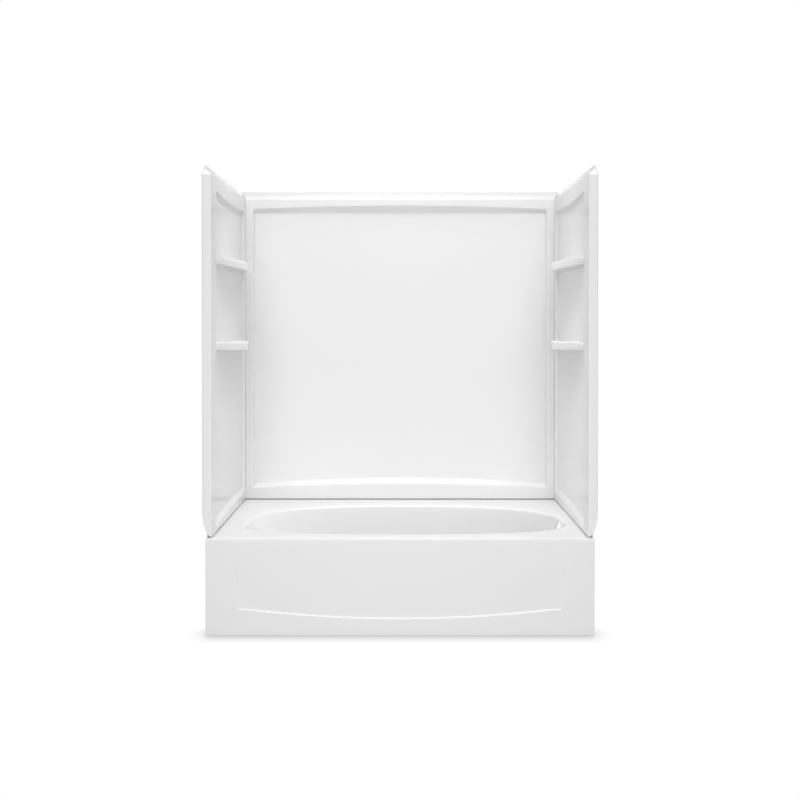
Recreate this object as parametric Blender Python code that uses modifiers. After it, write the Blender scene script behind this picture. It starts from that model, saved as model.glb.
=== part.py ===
"""Alcove bath with its three-piece shower surround, at real size.

Metres, +Z up, X to the right and Y away from the person who looks at the apron. The origin is on
the floor, in the middle of the unit's length and depth.

The bath, the back wall and the two end walls are thin mouldings. Each starts as an open sheet: a
grid whose rows and columns are laid along the moulding's real edges, thickened with Solidify on
the side that nobody sees.
"""

import math

import bmesh
import bpy
import numpy as np
from mathutils import Matrix

# Bath, overall
BATH_LENGTH = 1.524
BATH_DEPTH = 0.762
RIM_HEIGHT = 0.381
BATH_SKIN = 0.005
TILE_FLANGE_RISE = 0.025
SEAT_GAP = 0.0003
WELD = 0.00005

# Apron
APRON_ROLL_REACH = 0.026
APRON_ROLL_DROP = 0.004
RELIEF_DEPTH = 0.005
RELIEF_STEP = 0.004
RELIEF_LOW_MIDDLE = 0.063
RELIEF_LOW_END = 0.098
RELIEF_FADE_DROP = 0.051
RELIEF_END_LOW = 0.134
RELIEF_END_HIGH = 0.100

# The basin. The deck sizes run from the bath's ends and back to the opening, the other two from the
# apron's face. Each run is how far the wall leans in from the opening to the floor
LEFT_DECK = 0.117
RIGHT_DECK = 0.069
BACK_DECK = 0.153
BASIN_FRONT = 0.067
BASIN_WIDEST = 0.305
RIM_RADIUS = 0.012
FLOOR_TOP = 0.066
FLOOR_FALL = 0.005
FLOOR_RADIUS = 0.055
FLOOR_FLAT_MARGIN = 0.010
LOUNGE_RUN = 0.245
DRAIN_END_RUN = 0.070
BACK_RUN = 0.070
FRONT_RUN = 0.047

# Waste and overflow holes
DRAIN_RADIUS = 0.026
DRAIN_FROM_END = 0.242
OVERFLOW_RADIUS = 0.027
OVERFLOW_DROP = 0.042
CUT_LENGTH = 0.060

# Walls, overall
WALL_SKIN = 0.004
END_STANDOFF = 0.025
BACK_STANDOFF = 0.027
SEAL_THICKNESS = 0.0035
SEAL_INSET = 0.0015
FRAME_TOP = 1.812
BEVEL_RISE = 0.020
END_FLANGE_RISE = 0.006
BACK_FLANGE_RISE = 0.016
RETURN_STOP = 0.008
JOINT_CLEARANCE = 0.0004

# End walls
LIP_OVERHANG = 0.012
LIP_ROUND = 0.009
LIP_EDGE = 0.003
LIP_FOOT_LIFT = 0.003
LIP_FOOT_ROUND = 0.103
FRONT_COLUMN = 0.090
REAR_COLUMN = 0.013
END_RECESS = 0.012
RECESS_SLOPE = 0.006
END_LEDGE_CLIMB = 0.019
END_LEDGE_FRONT_BOW = 0.021
END_LEDGE_RISE = 0.010
END_LEDGE_RISE_BOW = 0.016
END_RAIL_HEIGHT = 0.062
END_RAIL_BOW = 0.010
END_RAIL_FALL = 0.004
FLANGE_NOTCH_FROM_BACK = 0.125
LIP_TOP_DROP = 0.010
LIP_SET_BACK = 0.008

# Shelves of the end walls, hung from the top of the walls' faces
SHELF_DROPS = (0.669, 0.322)
SHELF_BOW = 0.070
SHELF_BOW_POWER = 1.6
SHELF_BAND = 0.029
SHELF_BAND_BOW = 0.008
SHELF_EDGE_RADIUS = 0.008
SHELF_LOW_RADIUS = 0.003
SHELF_UNDERSIDE_FALL = 0.003

# Back wall
SIDE_COLUMN = 0.036
BACK_RECESS = 0.020
BACK_RECESS_SLOPE = 0.008
BACK_EDGE_ROUND = 0.004
BACK_FLANGE_END_DRAW = 0.0015
BACK_LEDGE_CLIMB = 0.052
BACK_LEDGE_FRONT_BOW = 0.020
BACK_LEDGE_RISE = 0.012
BACK_LEDGE_RISE_BOW = 0.010
BACK_RAIL_HEIGHT = 0.047
BACK_RAIL_EDGE_BOW = 0.017
BACK_RAIL_DEEP_HEIGHT = 0.0645

# Spring clips that join wall to wall, and wall to bath
CLIP_STEEL = 0.0012
CORNER_CLIP_HEIGHT = 0.030
CORNER_CLIP_REACH = 0.012
CORNER_CLIP_FOOT_GAP = 0.116
CORNER_CLIP_TOP_GAP = 0.112
CORNER_CLIPS_EACH = 4
FOOT_CLIP_LENGTH = 0.040
FOOT_CLIP_HEIGHT = 0.018
END_FOOT_CLIPS = 2
BACK_FOOT_CLIPS = 3
FOOT_CLIP_INSET = 0.180

# Supports under the bath
BASE_BOARD_THICKNESS = 0.016
BASE_BOARD_MARGIN = 0.020
BASE_BOARD_CORNER = 0.060
WASTE_CLEARANCE_RADIUS = 0.055
PAD_LENGTH = 0.150
PAD_MARGIN = 0.015
PAD_BEVEL = 0.006
PAD_COUNT = 3
APRON_RAIL_HEIGHT = 0.050
APRON_RAIL_THICKNESS = 0.018
APRON_TIMBER_END_GAP = 0.017
APRON_POST_SIDE = 0.038

# Lines of the outer shape that follow from the sizes above
HALF_LENGTH = BATH_LENGTH / 2
FRONT = -BATH_DEPTH / 2
BACK = BATH_DEPTH / 2
WALL_X = HALF_LENGTH - END_STANDOFF
WALL_Y = BACK - BACK_STANDOFF
FLANGE_X = HALF_LENGTH - WALL_SKIN
FLANGE_Y = BACK - WALL_SKIN
WALL_FOOT = RIM_HEIGHT + SEAL_THICKNESS + 2 * SEAT_GAP
RETURN_END = BACK - RETURN_STOP
TILE_X = HALF_LENGTH - BATH_SKIN
TILE_Y = BACK - BATH_SKIN
RELIEF_FADE_HEIGHT = RIM_HEIGHT - RELIEF_FADE_DROP
RELIEF_HALF_LOW = HALF_LENGTH - RELIEF_END_LOW
RELIEF_HALF_HIGH = HALF_LENGTH - RELIEF_END_HIGH
BASIN_LEFT = HALF_LENGTH - LEFT_DECK
BASIN_RIGHT = HALF_LENGTH - RIGHT_DECK
BASIN_BACK = BATH_DEPTH - BACK_DECK
BASIN_CENTRE_X = (BASIN_RIGHT - BASIN_LEFT) / 2
BASIN_CENTRE_Y = FRONT + BASIN_WIDEST
BASIN_HALF_LENGTH = (BASIN_RIGHT + BASIN_LEFT) / 2
BASIN_MIDDLE_Y = FRONT + (BASIN_FRONT + BASIN_BACK) / 2
DRAIN_X = HALF_LENGTH - DRAIN_FROM_END
END_LEDGE_FRONT = WALL_FOOT + END_LEDGE_CLIMB
END_RAIL_EDGE = FRAME_TOP - END_RAIL_HEIGHT
BACK_LEDGE_FRONT = WALL_FOOT + BACK_LEDGE_CLIMB
BACK_RAIL_EDGE = FRAME_TOP - BACK_RAIL_HEIGHT
BACK_RAIL_LOW = FRAME_TOP - BACK_RAIL_DEEP_HEIGHT
CORNER_CLIP_FIRST = WALL_FOOT + CORNER_CLIP_FOOT_GAP
CORNER_CLIP_LAST = FRAME_TOP - CORNER_CLIP_TOP_GAP

# Powers of the basin's outline, corner by corner: 2 is an ellipse and a higher one is squarer
FRONT_LEFT_POWER = 4.0
FRONT_RIGHT_POWER = 3.0
BACK_RIGHT_POWER = 2.2
BACK_LEFT_POWER = 2.25
FLOOR_POWER_GAIN = 0.6

# Counts and shares that set how finely the sheets follow the shape
FRONT_SIDE_SHARES = (1, 0.9, 0.78, 0.64, 0.48, 0.3, 0.1)
BACK_SIDE_COUNT = 20
END_SIDE_COUNT = 16
ROUND_STEPS = 3
FLOOR_STEPS = 4
RECESS_COLUMNS = 11
LIP_BEVEL_SHARE = 0.27
LIP_FLANGE_SHARE = 0.17
NOTCH_LEFT_SHARE = 0.3
HOLE_SIDES = 32
ROUND_PROFILE_SHARE = 0.5
SHARP_DEGREES = 35

COLOURS = {
    "white_gloss": ((0.80, 0.80, 0.80, 1), 0.12, 0),
    "board": ((0.55, 0.40, 0.24, 1), 0.8, 0),
    "foam": ((0.86, 0.87, 0.85, 1), 0.9, 0),
    "timber": ((0.66, 0.50, 0.31, 1), 0.7, 0),
    "spring_steel": ((0.60, 0.60, 0.58, 1), 0.35, 1),
    "seal_foam": ((0.09, 0.09, 0.09, 1), 0.9, 0),
}


def clear_scene():
    for item in list(bpy.data.objects):
        bpy.data.objects.remove(item, do_unlink=True)


def make_collection(name):
    group = bpy.data.collections.new(name)
    bpy.context.scene.collection.children.link(group)
    return group


def make_material(name):
    colour, roughness, metallic = COLOURS[name]
    material = bpy.data.materials.new(name)
    material.use_nodes = True
    shader = material.node_tree.nodes["Principled BSDF"]
    shader.inputs["Base Color"].default_value = colour
    shader.inputs["Roughness"].default_value = roughness
    shader.inputs["Metallic"].default_value = metallic
    return material


def add_object(name, work, group, material_name=None):
    """The bmesh as a new object. One with no material is a cutter, which isn't rendered."""
    mesh = bpy.data.meshes.new(name)
    work.to_mesh(mesh)
    work.free()
    made = bpy.data.objects.new(name, mesh)
    group.objects.link(made)
    if material_name is None:
        made.hide_render = True
        made.display_type = "WIRE"
    else:
        material = make_material(material_name)
        material.name = name + "_" + material_name
        mesh.materials.append(material)
    return made


def box_mesh(low, high):
    work = bmesh.new()
    bmesh.ops.create_cube(work, size=1)
    low, high = np.array(low), np.array(high)
    bmesh.ops.scale(work, vec=high - low, verts=work.verts)
    bmesh.ops.translate(work, vec=(low + high) / 2, verts=work.verts)
    return work


def cylinder_mesh(centre, radius, length, turn=None):
    work = bmesh.new()
    size = {"radius1": radius, "radius2": radius, "depth": length}
    bmesh.ops.create_cone(work, cap_ends=True, segments=HOLE_SIDES, **size)
    if turn is not None:
        bmesh.ops.rotate(work, matrix=turn, verts=work.verts)
    bmesh.ops.translate(work, vec=centre, verts=work.verts)
    return work


def cut(target, cutter, name):
    boolean = target.modifiers.new(name, "BOOLEAN")
    boolean.operation = "DIFFERENCE"
    boolean.solver = "EXACT"
    boolean.object = cutter


def thicken(target, thickness):
    """Adds the moulding's thickness behind the face that shows."""
    solid = target.modifiers.new("thickness", "SOLIDIFY")
    solid.thickness = thickness
    solid.offset = -1
    solid.use_even_offset = True


def grid_mesh(points):
    """An open sheet through points[row, column]. Its face looks along (next column) x (next row)."""
    rows, columns = points.shape[:2]
    work = bmesh.new()
    made = bmesh.ops.create_grid(work, x_segments=columns - 1, y_segments=rows - 1, size=1)
    for vertex, place in zip(made["verts"], points.reshape(-1, 3)):
        vertex.co = place
    return work


def row(x, y, z):
    """One row of a sheet. Any of the three may be a single number."""
    return np.stack(np.broadcast_arrays(x, y, z), axis=1)


def join_meshes(meshes):
    """One sheet from several that share edges, with the shared points made one."""
    whole = bmesh.new()
    for part in meshes:
        carrier = bpy.data.meshes.new("carrier")
        part.to_mesh(carrier)
        part.free()
        whole.from_mesh(carrier)
        bpy.data.meshes.remove(carrier)
    bmesh.ops.remove_doubles(whole, verts=whole.verts, dist=WELD)
    return whole


def shade_by_angle(target):
    target.data.shade_smooth()
    target.data.set_sharp_from_angle(angle=math.radians(SHARP_DEGREES))


def round_uprights(work, radius):
    """Rounds the four upright edges of a box."""
    upright = [edge for edge in work.edges if edge.verts[0].co.xy == edge.verts[1].co.xy]
    bmesh.ops.bevel(
        work,
        geom=upright,
        offset=radius,
        segments=ROUND_STEPS,
        profile=ROUND_PROFILE_SHARE,
        affect="EDGES",
    )


def basin_ring(angles, wall_share, inset):
    """Places across and along of one ring of the basin, at angles in plan seen from its centre.

    wall_share is 0 at the opening and 1 at the foot of the wall; inset is taken off all round.
    """
    right = np.cos(angles) >= 0
    back = np.sin(angles) >= 0
    front_power = np.where(right, FRONT_RIGHT_POWER, FRONT_LEFT_POWER)
    back_power = np.where(right, BACK_RIGHT_POWER, BACK_LEFT_POWER)
    power = np.where(back, back_power, front_power) + FLOOR_POWER_GAIN * wall_share
    half_x = BASIN_HALF_LENGTH - wall_share * np.where(right, DRAIN_END_RUN, LOUNGE_RUN) - inset
    half_y = np.where(back, BASIN_BACK - BASIN_WIDEST, BASIN_WIDEST - BASIN_FRONT)
    half_y = half_y - wall_share * np.where(back, BACK_RUN, FRONT_RUN) - inset
    across = np.abs(np.cos(angles)) / half_x
    along = np.abs(np.sin(angles)) / half_y
    radii = (across**power + along**power) ** (-1 / power)
    return BASIN_CENTRE_X + radii * np.cos(angles), BASIN_CENTRE_Y + radii * np.sin(angles)


def floor_height(x):
    """The floor falls towards the waste."""
    fall_length = DRAIN_X - BASIN_CENTRE_X + BASIN_HALF_LENGTH - LOUNGE_RUN
    return FLOOR_TOP + FLOOR_FALL * (DRAIN_X - x) / fall_length


def deck_outline():
    """Points round the deck's edge, front left corner first, and the places across of the front ones."""
    front_y = FRONT + APRON_ROLL_REACH
    half = [RELIEF_HALF_HIGH + RELIEF_STEP]
    half += [RELIEF_HALF_HIGH * share for share in FRONT_SIDE_SHARES]
    front_x = [-TILE_X] + [-x for x in half] + half[::-1] + [TILE_X]
    side_y = list(np.linspace(front_y, TILE_Y, END_SIDE_COUNT + 1))
    back_x = list(np.linspace(TILE_X, -TILE_X, BACK_SIDE_COUNT + 1))
    points = [(x, front_y) for x in front_x]
    points += [(TILE_X, y) for y in side_y[1:]]
    points += [(x, TILE_Y) for x in back_x[1:]]
    points += [(-TILE_X, y) for y in side_y[::-1][1:]]
    return np.array(points), np.array(front_x)


def cut_corner(before, corner, after, reach, steps):
    """Rings along the quadratic Bezier curves that leave a corner out, from reach before to reach after."""
    to_before = before - corner
    to_after = after - corner
    start = corner + to_before * reach / np.linalg.norm(to_before, axis=1, keepdims=True)
    end = corner + to_after * reach / np.linalg.norm(to_after, axis=1, keepdims=True)
    rings = []
    for share in np.linspace(0, 1, steps + 1):
        straight = (1 - share) ** 2 * start + share**2 * end
        rings.append(straight + 2 * share * (1 - share) * corner)
    return rings


def basin_rings(outline):
    """Rings from the deck's edge to the floor, each closed on itself."""
    angles = np.arctan2(outline[:, 1] - BASIN_CENTRE_Y, outline[:, 0] - BASIN_CENTRE_X)
    deck = row(outline[:, 0], outline[:, 1], RIM_HEIGHT)
    x, y = basin_ring(angles, 0, 0)
    opening = row(x, y, RIM_HEIGHT)
    x, y = basin_ring(angles, 1, 0)
    foot = row(x, y, floor_height(x))
    x, y = basin_ring(angles, 1, FLOOR_RADIUS + FLOOR_FLAT_MARGIN)
    flat = row(x, y, floor_height(x))
    rings = [deck] + cut_corner(deck, opening, foot, RIM_RADIUS, ROUND_STEPS)
    rings += [(opening + foot) / 2]
    rings += cut_corner(opening, foot, flat, FLOOR_RADIUS, FLOOR_STEPS)
    return np.array(rings + [flat])


def relief_half(height):
    """Half width of the apron's sunk field, which widens upwards."""
    share = (height - RELIEF_LOW_END) / (RELIEF_FADE_HEIGHT - RELIEF_LOW_END)
    return RELIEF_HALF_LOW + (RELIEF_HALF_HIGH - RELIEF_HALF_LOW) * np.clip(share, 0, 1)


def relief_low(x):
    """Height of the arched line below the apron's sunk field."""
    share = np.clip(np.abs(x) / RELIEF_HALF_LOW, 0, 1)
    return RELIEF_LOW_MIDDLE + (RELIEF_LOW_END - RELIEF_LOW_MIDDLE) * share**2


def apron_sheet(front_x):
    """The apron from the floor to its rolled top edge, with the sunk field that fades out upwards."""
    inner = np.abs(front_x) < RELIEF_HALF_HIGH + RELIEF_STEP / 2
    end = np.abs(front_x) > (RELIEF_HALF_HIGH + TILE_X) / 2
    side = np.sign(front_x)
    line = relief_low(front_x)
    middle = (RELIEF_LOW_END + RELIEF_FADE_HEIGHT) / 2
    levels = [(0, 0), (line, 0), (line + RELIEF_STEP, 1), (middle, 1), (RELIEF_FADE_HEIGHT, 0)]
    rows = []
    for height, sunk in levels + [(RIM_HEIGHT - APRON_ROLL_DROP, 0)]:
        x = np.where(end, side * HALF_LENGTH, front_x * relief_half(height) / RELIEF_HALF_HIGH)
        fade = (RELIEF_FADE_HEIGHT - height) / (RELIEF_FADE_HEIGHT - RELIEF_LOW_MIDDLE)
        rows.append(row(x, FRONT + RELIEF_DEPTH * fade * inner * sunk, height))
    for step in range(1, ROUND_STEPS + 1):
        turn = step / ROUND_STEPS * math.pi / 2
        x = np.where(end, side * (HALF_LENGTH - BATH_SKIN * step / ROUND_STEPS), front_x)
        y = FRONT + APRON_ROLL_REACH * (1 - math.cos(turn))
        rows.append(row(x, y, RIM_HEIGHT - APRON_ROLL_DROP * (1 - math.sin(turn))))
    return grid_mesh(np.array(rows))


def flange_sheet(outline, front_count):
    """The raised flange along the two ends and the back of the deck."""
    path = np.vstack([outline[front_count - 1 :], outline[:1]])
    high = row(path[:, 0], path[:, 1], RIM_HEIGHT + TILE_FLANGE_RISE)
    low = row(path[:, 0], path[:, 1], RIM_HEIGHT)
    return grid_mesh(np.array([high, low]))


def build_bath(group, cutters):
    outline, front_x = deck_outline()
    rings = basin_rings(outline)
    basin = grid_mesh(np.concatenate([rings, rings[:, :1]], axis=1))
    bmesh.ops.remove_doubles(basin, verts=basin.verts, dist=WELD)
    rims = [edge for edge in basin.edges if edge.is_boundary]
    floor_rim = [edge for edge in rims if edge.verts[0].co.z < FLOOR_TOP + FLOOR_RADIUS]
    floor = bmesh.ops.contextual_create(basin, geom=floor_rim)["faces"]
    bmesh.ops.recalc_face_normals(basin, faces=floor)
    sheet = join_meshes([basin, apron_sheet(front_x), flange_sheet(outline, len(front_x))])
    bath = add_object("bath_shell", sheet, group, "white_gloss")
    thicken(bath, BATH_SKIN)
    drain_at = (DRAIN_X, BASIN_MIDDLE_Y, FLOOR_TOP)
    drain = add_object("drain_cutter", cylinder_mesh(drain_at, DRAIN_RADIUS, CUT_LENGTH), cutters)
    sideways = Matrix.Rotation(math.pi / 2, 3, "Y")
    overflow_at = (BASIN_RIGHT, BASIN_MIDDLE_Y, RIM_HEIGHT - OVERFLOW_DROP)
    overflow_mesh = cylinder_mesh(overflow_at, OVERFLOW_RADIUS, CUT_LENGTH, sideways)
    overflow = add_object("overflow_cutter", overflow_mesh, cutters)
    cut(bath, drain, "drain hole")
    cut(bath, overflow, "overflow hole")
    shade_by_angle(bath)


def end_wall_columns():
    """The left end wall's face in plan, front lip first: x, y and 1 where it is in the recess."""
    lip_x = -HALF_LENGTH - LIP_OVERHANG
    columns = []
    for step in range(ROUND_STEPS):
        turn = step / (ROUND_STEPS - 1) * math.pi / 2
        back_off = LIP_ROUND * (1 - math.sin(turn))
        columns.append((lip_x + LIP_ROUND * (1 - math.cos(turn)), FRONT + back_off, 0))
    columns.append((-WALL_X - LIP_EDGE, FRONT, 0))
    columns.append((-WALL_X, FRONT + LIP_EDGE, 0))
    front_edge = FRONT + FRONT_COLUMN
    rear_edge = WALL_Y - REAR_COLUMN
    columns.append((-WALL_X, front_edge, 0))
    for y in np.linspace(front_edge + RECESS_SLOPE, rear_edge - RECESS_SLOPE, RECESS_COLUMNS):
        columns.append((-WALL_X, y, 1))
    columns.append((-WALL_X, rear_edge, 0))
    columns.append((-WALL_X, RETURN_END, 0))
    return np.array(columns)


def bow(share, power):
    """1 in the middle of a run and 0 at its ends."""
    return 1 - np.abs(2 * share - 1) ** power


def end_wall_points():
    """Rows from the wall's foot to the top of its flange, over the columns of its plan path."""
    x, y, sunk = end_wall_columns().T
    recess_y = y[sunk == 1]
    span = np.clip((y - recess_y[0]) / (recess_y[-1] - recess_y[0]), 0, 1)
    outboard = -WALL_X - x
    lip = outboard > 0
    foot = WALL_FOOT + LIP_FOOT_LIFT * lip
    foot = foot + LIP_FOOT_ROUND * (1 - np.sqrt(1 - (outboard / outboard.max()) ** 2))
    ledge_front = np.maximum(END_LEDGE_FRONT + END_LEDGE_FRONT_BOW * np.sqrt(span), foot + LIP_EDGE)
    ledge_back = ledge_front + END_LEDGE_RISE + END_LEDGE_RISE_BOW * bow(span, 2)
    deep = x - END_RECESS * sunk
    rows = [row(x, y, foot), row(x, y, ledge_front), row(deep, y, ledge_back)]
    for drop in SHELF_DROPS:
        top = FRAME_TOP - drop
        out = x + SHELF_BOW * bow(span, SHELF_BOW_POWER) * sunk
        low = top - SHELF_BAND - SHELF_BAND_BOW * bow(span, 2)
        rows.append(row(deep, y, low - SHELF_UNDERSIDE_FALL))
        rows.append(row(np.maximum(out - SHELF_LOW_RADIUS, deep), y, low))
        rows.append(row(out, y, low + SHELF_LOW_RADIUS))
        for step in range(ROUND_STEPS + 1):
            turn = step / ROUND_STEPS * math.pi / 2
            draw_in = SHELF_EDGE_RADIUS * (1 - math.cos(turn)) * sunk
            height = top - SHELF_EDGE_RADIUS * (1 - math.sin(turn))
            rows.append(row(np.maximum(out - draw_in, deep), y, height))
        rows.append(row(deep, y, top + SHELF_LOW_RADIUS * (1 - sunk)))
    rail_edge = END_RAIL_EDGE - END_RAIL_BOW * bow(span, 2)
    rows.append(row(deep, y, rail_edge - END_RAIL_FALL))
    rows.append(row(x, y, rail_edge))
    rows.append(row(x, y, FRAME_TOP - LIP_TOP_DROP * lip))
    tip = y < FRONT + FRONT_COLUMN / 2
    bevel_y = np.where(tip, FRONT + LIP_SET_BACK + (y - FRONT) * LIP_BEVEL_SHARE, y)
    bevel_z = FRAME_TOP + BEVEL_RISE - LIP_TOP_DROP * lip
    rows.append(row(-FLANGE_X - outboard * LIP_BEVEL_SHARE, bevel_y, bevel_z))
    notched = y > BACK - FLANGE_NOTCH_FROM_BACK
    flange_y = np.where(tip, FRONT + LIP_SET_BACK + (y - FRONT) * LIP_FLANGE_SHARE, y)
    flange_z = FRAME_TOP + BEVEL_RISE + END_FLANGE_RISE * np.where(notched, NOTCH_LEFT_SHARE, 1)
    rows.append(row(-FLANGE_X - outboard * LIP_FLANGE_SHARE, flange_y, flange_z))
    return np.array(rows)


def build_end_walls(group):
    left = end_wall_points()
    right = left[:, ::-1] * np.array([-1, 1, 1])
    for name, points in (("left_end_wall", left), ("right_end_wall", right)):
        wall = add_object(name, grid_mesh(points), group, "white_gloss")
        thicken(wall, WALL_SKIN)
        shade_by_angle(wall)


def back_wall_points():
    """Rows from the foot to the flange, over columns from the left return to the right return."""
    side = WALL_X - JOINT_CLEARANCE
    round_in = side - BACK_EDGE_ROUND
    frame_edge = WALL_X - SIDE_COLUMN
    recess_edge = frame_edge - BACK_RECESS_SLOPE
    half = [(side, RETURN_END, 0), (side, WALL_Y + BACK_EDGE_ROUND, 0)]
    half += [(round_in, WALL_Y, 0), (frame_edge, WALL_Y, 0)]
    left = [(-x, y, sunk) for x, y, sunk in half]
    inner = [(x, WALL_Y, 1) for x in np.linspace(-recess_edge, recess_edge, RECESS_COLUMNS + 2)]
    x, y, sunk = np.array(left + inner + half[::-1]).T
    arch = 1 - np.clip(np.abs(x) / frame_edge, 0, 1) ** 2
    deep = y + BACK_RECESS * sunk
    ledge_front = BACK_LEDGE_FRONT + BACK_LEDGE_FRONT_BOW * arch
    ledge_back = ledge_front + BACK_LEDGE_RISE + BACK_LEDGE_RISE_BOW * arch
    rows = [row(x, y, WALL_FOOT), row(x, y, ledge_front), row(x, deep, ledge_back)]
    rows.append(row(x, deep, (ledge_back + BACK_RAIL_LOW) / 2))
    rows.append(row(x, deep, BACK_RAIL_LOW))
    rows.append(row(x, y, BACK_RAIL_EDGE + BACK_RAIL_EDGE_BOW * arch))
    rows.append(row(x, y, FRAME_TOP))
    outer = np.clip((np.abs(x) - frame_edge) / SIDE_COLUMN, 0, 1)
    spread = (END_STANDOFF - WALL_SKIN) * outer - BACK_EDGE_ROUND * (np.abs(x) >= round_in)
    spread = spread + BACK_EDGE_ROUND * (y == RETURN_END)
    top_x = x + np.sign(x) * spread
    top_y = FLANGE_Y - BACK_FLANGE_END_DRAW * (outer > 0)
    rows.append(row(top_x, top_y, FRAME_TOP + BEVEL_RISE))
    rows.append(row(top_x, top_y, FRAME_TOP + BEVEL_RISE + BACK_FLANGE_RISE))
    return np.array(rows)


def build_back_wall(group):
    wall = add_object("back_wall", grid_mesh(back_wall_points()), group, "white_gloss")
    thicken(wall, WALL_SKIN)
    shade_by_angle(wall)


def build_seals(group):
    """Foam strips between the feet of the walls and the deck."""
    low = RIM_HEIGHT + SEAT_GAP
    high = low + SEAL_THICKNESS
    start = FRONT + APRON_ROLL_REACH + SEAT_GAP
    for name, side in (("left_seal", -1), ("right_seal", 1)):
        near, far = sorted((side * (WALL_X + SEAL_INSET), side * (WALL_X + WALL_SKIN)))
        add_object(name, box_mesh((near, start, low), (far, RETURN_END, high)), group, "seal_foam")
    reach = WALL_X - JOINT_CLEARANCE
    back = box_mesh((-reach, WALL_Y + SEAL_INSET, low), (reach, WALL_Y + WALL_SKIN, high))
    add_object("back_seal", back, group, "seal_foam")


def add_clip(name, path, length, group):
    """A U of spring steel: a three-sided path drawn out along Z, thickened to both sides."""
    points = np.array([[(x, y, z) for x, y in path] for z in (-length / 2, length / 2)])
    clip = add_object(name, grid_mesh(points), group, "spring_steel")
    thicken(clip, CLIP_STEEL)
    clip.modifiers["thickness"].offset = 0
    return clip


def build_corner_clips(group):
    """U clips pushed over the two returns that meet behind each corner."""
    half_steel = CLIP_STEEL / 2
    outer_leg = WALL_SKIN + SEAT_GAP + half_steel
    inner_leg = WALL_SKIN + JOINT_CLEARANCE + SEAT_GAP + half_steel
    back = SEAT_GAP + half_steel
    path = [(-outer_leg, -CORNER_CLIP_REACH), (-outer_leg, back)]
    path += [(inner_leg, back), (inner_leg, -CORNER_CLIP_REACH)]
    heights = np.linspace(CORNER_CLIP_FIRST, CORNER_CLIP_LAST, CORNER_CLIPS_EACH)
    for side_name, side in (("left", 1), ("right", -1)):
        for number, height in enumerate(heights, start=1):
            placed = [(side * x, y) for x, y in path[::side]]
            name = f"{side_name}_corner_clip_{number}"
            clip = add_clip(name, placed, CORNER_CLIP_HEIGHT, group)
            clip.location = (-side * WALL_X, RETURN_END, height)


def build_foot_clips(group):
    """U clips lying on the deck, which keep the walls' feet at their distance from the tile flange."""
    half_steel = CLIP_STEEL / 2
    end_middle = WALL_X + (END_STANDOFF + WALL_SKIN - BATH_SKIN) / 2
    back_middle = WALL_Y + (BACK_STANDOFF + WALL_SKIN - BATH_SKIN) / 2
    z = RIM_HEIGHT + SEAT_GAP + half_steel
    places = []
    end_places = np.linspace(FRONT + FOOT_CLIP_INSET, BACK - FOOT_CLIP_INSET, END_FOOT_CLIPS)
    for number, y in enumerate(end_places, start=1):
        places.append((f"left_foot_clip_{number}", -end_middle, y, END_STANDOFF, 0))
        places.append((f"right_foot_clip_{number}", end_middle, y, END_STANDOFF, 0))
    back_reach = HALF_LENGTH - FOOT_CLIP_INSET
    for number, x in enumerate(np.linspace(-back_reach, back_reach, BACK_FOOT_CLIPS), start=1):
        places.append((f"back_foot_clip_{number}", x, back_middle, BACK_STANDOFF, math.pi / 2))
    for name, x, y, standoff, turn in places:
        half = (standoff - WALL_SKIN - BATH_SKIN - CLIP_STEEL) / 2 - SEAT_GAP
        path = [(-half, FOOT_CLIP_HEIGHT), (-half, 0), (half, 0), (half, FOOT_CLIP_HEIGHT)]
        clip = add_clip(name, path, FOOT_CLIP_LENGTH, group)
        clip.rotation_euler = (math.pi / 2, 0, turn)
        clip.location = (x, y, z)


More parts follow.
